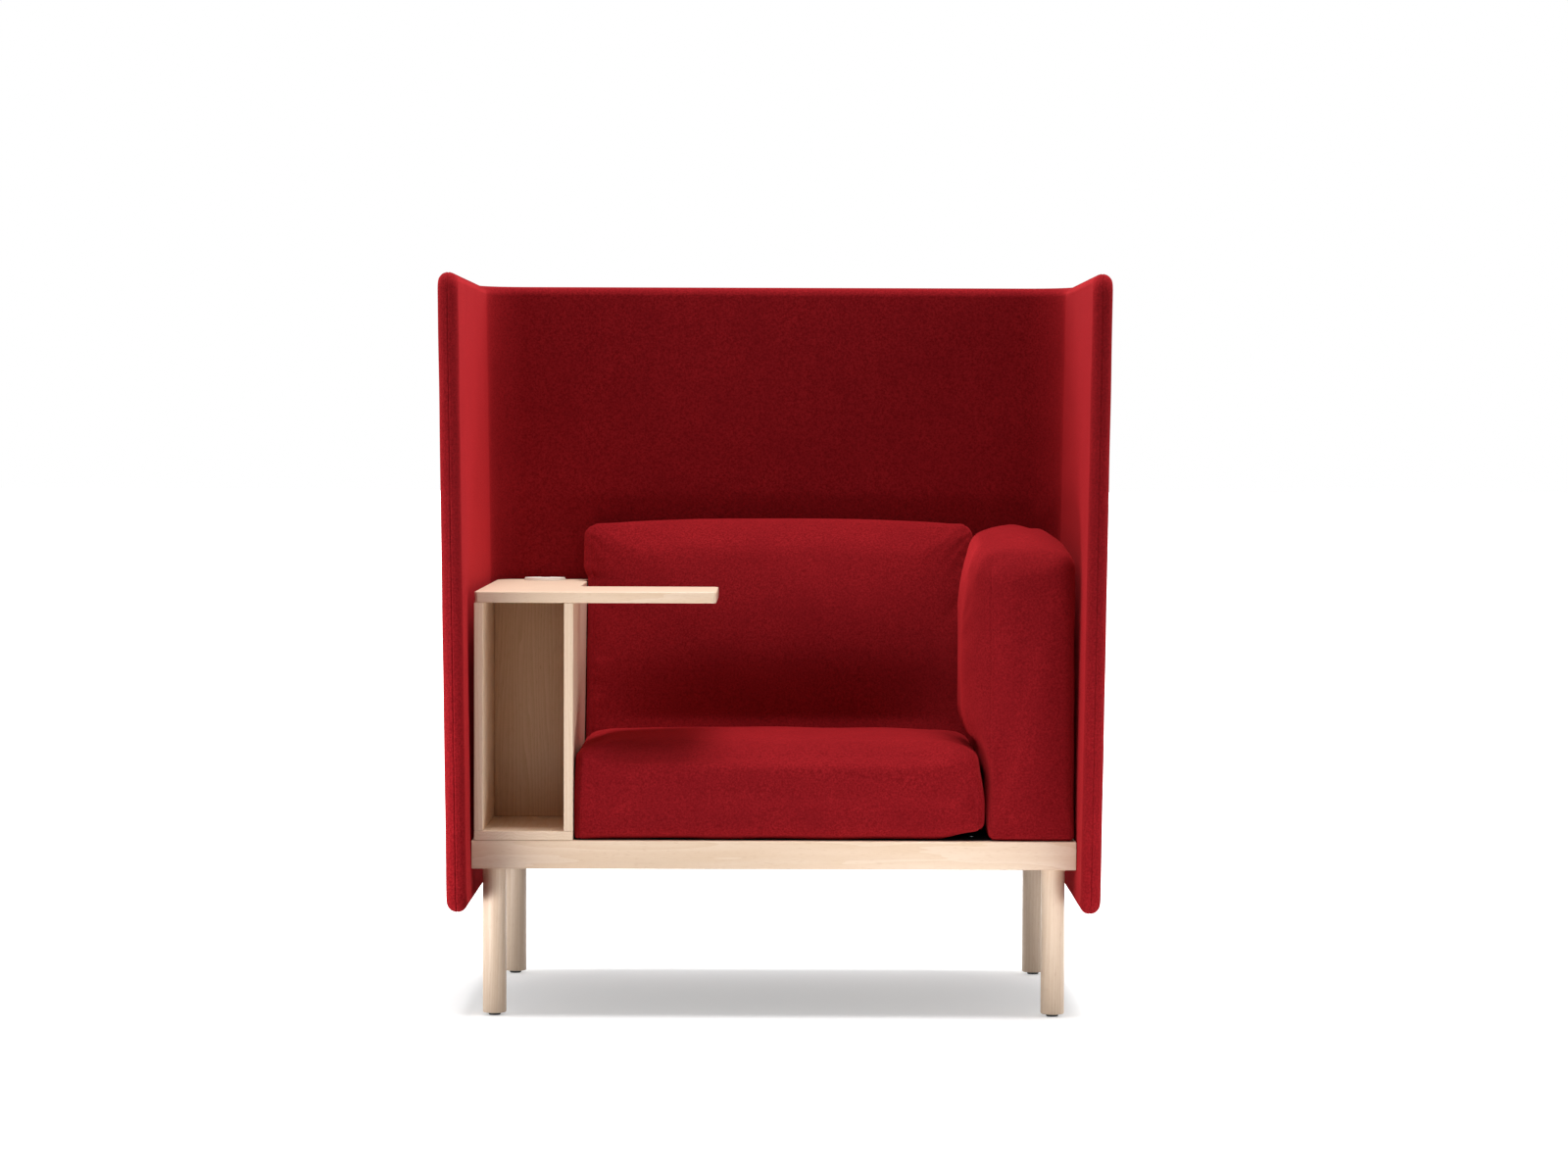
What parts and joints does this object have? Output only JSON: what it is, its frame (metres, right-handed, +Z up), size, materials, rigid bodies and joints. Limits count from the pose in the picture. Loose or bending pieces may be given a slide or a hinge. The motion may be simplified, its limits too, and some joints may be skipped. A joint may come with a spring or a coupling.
{
  "type": "acoustic high back lounge chair",
  "caption": "Lounge chair with a tall U-shaped upholstered screen round a padded seat, back and arm, a magazine box and side table on the left, and an ash frame on round legs.",
  "frame": {"origin": "on the floor, at the middle of the chair's plan", "axes": "+Z up, the sitter faces -Y, the magazine box is at -X"},
  "size_m": [1.0856, 0.765, 1.217],
  "materials": {
    "wool_fabric": "brushed wool upholstery, dull",
    "ash_wood": "ash, clear matt lacquer",
    "plywood": "birch plywood, raw",
    "deck_felt": "black felt on board",
    "zinc_steel": "bright zinc",
    "glide_plastic": "moulded, matt black",
    "outlet_plastic": "moulded, off-white"
  },
  "bodies": {
    "chair_frame": {"front_rail": "ash_wood", "rear_rail": "ash_wood", "left_rail": "ash_wood", "right_rail": "ash_wood", "box_bottom": "ash_wood", "box_left_wall": "ash_wood", "box_right_wall": "ash_wood", "box_back_panel": "ash_wood", "table_top": "ash_wood", "leg_front_left": "ash_wood", "leg_front_right": "ash_wood", "leg_rear_left": "ash_wood", "leg_rear_right": "ash_wood", "frame_dowel_front_left": "ash_wood", "frame_dowel_front_right": "ash_wood", "frame_dowel_rear_left": "ash_wood", "frame_dowel_rear_right": "ash_wood", "cross_rail_left": "plywood", "cross_rail_centre": "plywood", "cross_rail_right": "plywood", "screen_core": "plywood", "back_board": "plywood", "arm_board": "plywood", "corner_block_front_left": "plywood", "corner_block_front_right": "plywood", "corner_block_rear_left": "plywood", "corner_block_rear_right": "plywood", "screen_outer_cover": "wool_fabric", "screen_inner_cover": "wool_fabric", "back_cushion": "wool_fabric", "arm_cushion": "wool_fabric", "deck_screw_front_left": "zinc_steel", "deck_screw_front_centre": "zinc_steel", "deck_screw_front_right": "zinc_steel", "deck_screw_rear_left": "zinc_steel", "deck_screw_rear_centre": "zinc_steel", "deck_screw_rear_right": "zinc_steel", "box_screw_front_left": "zinc_steel", "box_screw_rear_left": "zinc_steel", "box_screw_front_right": "zinc_steel", "box_screw_rear_right": "zinc_steel", "screen_bolt_left_front": "zinc_steel", "screen_bolt_left_rear": "zinc_steel", "screen_bolt_right_front": "zinc_steel", "screen_bolt_right_rear": "zinc_steel", "screen_bolt_back_left": "zinc_steel", "screen_bolt_back_right": "zinc_steel", "leg_bolt_front_left": "zinc_steel", "leg_bolt_front_right": "zinc_steel", "leg_bolt_rear_left": "zinc_steel", "leg_bolt_rear_right": "zinc_steel", "seat_deck": "deck_felt", "glide_front_left": "glide_plastic", "glide_front_right": "glide_plastic", "glide_rear_left": "glide_plastic", "glide_rear_right": "glide_plastic", "outlet_liner": "outlet_plastic"},
    "seat_cushion": {"seat_cushion": "wool_fabric"},
    "outlet_cap": {"outlet_cap": "outlet_plastic"}
  },
  "joints": [
    {"name": "seat_cushion_slide", "type": "slide", "parent": "chair_frame", "child": "seat_cushion", "axis": [0, -1, 0], "range_m": [0, 0.45]},
    {"name": "outlet_cap_lift", "type": "slide", "parent": "chair_frame", "child": "outlet_cap", "axis": [0, 0, 1], "range_m": [0, 0.03]}
  ]
}
